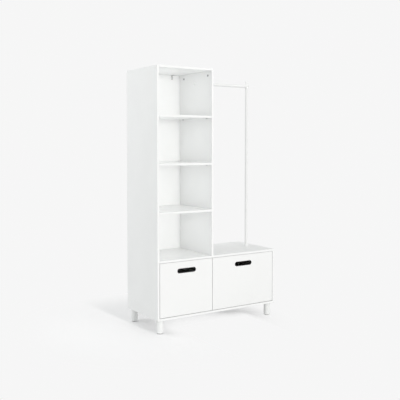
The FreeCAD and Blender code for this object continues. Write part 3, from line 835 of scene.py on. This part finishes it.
# %% [markdown]
# Nylon rollers
#
# Each runner roller is a moulded wheel: a crowned tread, a dished web on both faces and a hub round the axle.
# CAD has plain rings in their place. Insets on a cylinder could make the dishes, but one turned profile gives
# web, hub and tread at once. The new wheels keep the rings' width, radius and bore.

# %% Model the rollers
axle_bore = 0.00255
hub_wall = 0.0012
rim_wall = 0.0016
draft = 0.0003
dish_share = 0.3
crown_share, crown_in_share, crown_out_share = 0.09, 0.35, 0.3


def add_wheel(work, points):
    """One moulded wheel in the room of a CAD ring."""
    centre, size = middle_of(points)
    half, rim = size.x / 2, size.z / 2
    hub, web = axle_bore + hub_wall, half * (1 - dish_share)
    lip, crown = rim - rim_wall, rim * crown_share
    one_face = [(half, axle_bore), (half, hub), (web, hub + draft), (web, lip - draft), (half, lip),
                (half, rim - crown), (half - crown * crown_in_share, rim - crown * crown_out_share),
                (half - crown, rim)]
    profile = one_face + [(-along, out) for along, out in reversed(one_face)]
    turn(work, profile, centre, rightwards, closed=True)


for side in ("left", "right"):
    for end in ("front", "rear"):
        body = f"{side}_{end}_rollers"
        work = bmesh.new()
        for points in solids_of(body):
            add_wheel(work, points)
        finish_mesh(work, f"{side}_{end}_nylon_wheels", roller_nylon, body, [body])

# %% [markdown]
# Fasteners with a recess
#
# Bolts and cam locks are turned too, and have a recess in one end for a key or a screwdriver.
# A recess could be cut with a boolean, but that leaves uneven faces that shade badly. So it is turned round
# at first, and then its ring of corners is pulled into shape.
# The CAD solid says which end shows: the one with more corners, further out from the axis.

# %% Find where a turned solid points
end_share = 0.45
recess_tolerance = 1e-5


def turned_solid(points):
    """The middle of a CAD solid's worked end, the way inwards from there, its length and its width."""
    centre, size = middle_of(points)
    order = sorted(range(3), key=lambda i: size[i])
    slim = size[order[2]] - size[order[1]] > size[order[1]] - size[order[0]]
    axis = order[2] if slim else order[0]
    way = Vector([1.0 if i == axis else 0.0 for i in range(3)])
    weight = 0.0
    for p in points:
        along = (p - centre).dot(way)
        if abs(along) > size[axis] * end_share:
            weight += math.copysign((p - centre - way * along).length, along)
    inwards = way if weight < 0 else -way
    return centre - inwards * (size[axis] / 2), inwards, size[axis], size[order[1] if slim else order[2]]


def shape_recess(corners, base, axis, radius, reach):
    """Moves the corners of a round recess to the distance that reach gives for their angle."""
    first = axis.orthogonal().normalized()
    second = axis.cross(first)
    for corner in corners:
        offset = corner.co - base
        along = offset.dot(axis)
        across = offset - axis * along
        if abs(across.length - radius) < recess_tolerance:
            angle = math.atan2(across.dot(second), across.dot(first))
            corner.co = base + axis * along + across.normalized() * reach(angle)


for name in ("rail_bolts", "cam_locks"):
    base, inwards, length, width = turned_solid(solids_of(name)[0])
    print("first of", name, "at", in_mm(base), "runs", list(inwards), "for", in_mm((length, width)), "mm")

# %% [markdown]
# Button-head bolts
#
# Two bolts hold the rail and one holds the post. They are coated like the tube, and their domed heads have a
# hexagon socket for a key. Part of a sphere could stand for the dome, but a real button head has a flatter
# top and a short upright edge, so a few points give its curve.

# %% Model the bolts
head_height = 0.0036
head_lip = 0.0002
crown_shares = ((0.0, 0.52), (0.12, 0.74), (0.36, 0.91), (0.66, 0.985), (0.86, 1.0))
shank_radius = 0.003
tip_chamfer = 0.0006
socket_flat = 0.002
socket_depth = 0.0021
socket_cone = 0.0006
socket_round_share = 1.08
fastener_crease = 30.0


def hexagon(angle):
    """The distance from the middle to the side of a hexagon socket."""
    sixth = math.pi / 3
    return socket_flat / math.cos((angle % sixth) - sixth / 2)


def add_bolt(work, points):
    """One button-head bolt in the room of a CAD bolt."""
    base, inwards, length, width = turned_solid(points)
    head, mouth = width / 2, socket_flat * socket_round_share
    socket = [(socket_depth + socket_cone, 0.0), (socket_depth, mouth), (0.0, mouth)]
    crown = [(head_height * down, head * out) for down, out in crown_shares]
    neck = [(head_height, head - head_lip), (head_height, shank_radius)]
    shank = [(length - tip_chamfer, shank_radius), (length, shank_radius - tip_chamfer), (length, 0.0)]
    corners = turn(work, socket + crown + neck + shank, base, inwards)
    shape_recess(corners, base, inwards, mouth, hexagon)


work = bmesh.new()
for points in solids_of("rail_bolts"):
    add_bolt(work, points)
# The heads take the tube's greyer white, with its painted shade.
finish_mesh(work, "button_head_bolts", tube_white, "carcass", ["rail_bolts"], fastener_crease)

# %% [markdown]
# Cam locks
#
# A cam lock draws two boards together when it is turned. What shows is a round face of cast zinc with a
# lowered rim and a cross recess. A painted cross would do from afar, but close up only a real recess catches
# the light.

# %% Model the cams
cross_reach, cross_root = 0.0037, 0.0013
cross_half_arm = math.radians(9)
cross_depth = 0.0026
cross_wall_share = 0.85
cross_round = 0.0025
ledge_inner, ledge_outer, ledge_depth = 0.0015, 0.0012, 0.0003
rim_inner, rim_depth = 0.0006, 0.0008
cam_chamfer = 0.0005


def cross(angle):
    """The distance from the middle to the wall of a cross recess."""
    quarter = math.pi / 2
    off_arm = abs((angle + quarter / 2) % quarter - quarter / 2)
    return cross_reach if off_arm < cross_half_arm else cross_root


def add_cam(work, points):
    """One cam lock in the room of a CAD cam."""
    base, inwards, length, width = turned_solid(points)
    face = width / 2
    recess = [(cross_depth, 0.0), (cross_depth * cross_wall_share, cross_round), (0.0, cross_round)]
    ledge = [(0.0, face - ledge_inner), (ledge_depth, face - ledge_outer), (ledge_depth, face - rim_inner)]
    barrel = [(rim_depth, face), (length - cam_chamfer, face), (length, face - cam_chamfer), (length, 0.0)]
    corners = turn(work, recess + ledge + barrel, base, inwards)
    shape_recess(corners, base, inwards, cross_round, cross)


for name, body in (("cam_locks", "carcass"), ("left_drawer_cam_locks", "left_drawer"),
                   ("right_drawer_cam_locks", "right_drawer")):
    work = bmesh.new()
    for points in solids_of(name):
        add_cam(work, points)
    finish_mesh(work, name.replace("locks", "discs"), cast_zinc, body, [name], fastener_crease)

# %% [markdown]
# Liners in the hand slots
#
# The hand slots look black right up to their rims, so the cut edge of the board must be covered. The board's
# material could be black there, but the black would run out onto the face, so a thin black sleeve does it.
# It starts as a circle whose halves are pulled apart into a long round-ended loop, which is inset to the
# sleeve's thickness, opened, drawn back through the board and rounded at its rims.

# %% Model the slot liners
slot_height = 0.026
slot_length = 0.120
liner_gap = 0.0002
liner_wall = 0.0011
liner_setback = 0.0011
liner_round = 0.00035
loop_segments = 64
rim_angle = 1.0
upright = Matrix.Rotation(math.pi / 2, 4, "X") @ Matrix.Rotation(math.pi / loop_segments, 4, "Z")
openings = frame["record"]["physics"]["openings"]
for row in [row for row in openings if row["name"].endswith("_hand_slot")]:
    drawer = row["name"].replace("_hand_slot", "")
    centre = middle_of([Vector(corner) for corner in row["box_m"]])[0]
    front, back = (corner.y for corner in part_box(f"{drawer}_front"))
    start = Vector((centre.x, front + liner_setback, centre.z))
    work = bmesh.new()
    bmesh.ops.create_circle(work, cap_ends=True, segments=loop_segments, radius=slot_height / 2 - liner_gap,
                            matrix=Matrix.Translation(start) @ upright)
    for sign in (-1, 1):
        half = [v for v in work.verts if (v.co.x - start.x) * sign > 0]
        bmesh.ops.translate(work, verts=half, vec=rightwards * (sign * (slot_length - slot_height) / 2))
    middle = list(work.faces)
    bmesh.ops.inset_region(work, faces=middle, thickness=liner_wall, use_boundary=True, use_even_offset=True)
    bmesh.ops.delete(work, geom=middle, context="FACES_ONLY")
    drawn = bmesh.ops.extrude_face_region(work, geom=list(work.faces))["geom"]
    bmesh.ops.translate(work, verts=[g for g in drawn if isinstance(g, bmesh.types.BMVert)],
                        vec=forwards * (back - front - 2 * liner_setback))
    rims = [e for e in work.edges if e.is_manifold and e.calc_face_angle(0) > rim_angle]
    bmesh.ops.bevel(work, geom=rims, offset=liner_round, offset_type="OFFSET", segments=2, profile=0.5,
                    affect="EDGES", material=-1)
    finish_mesh(work, f"{drawer}_slot_liner", liner_black, drawer)
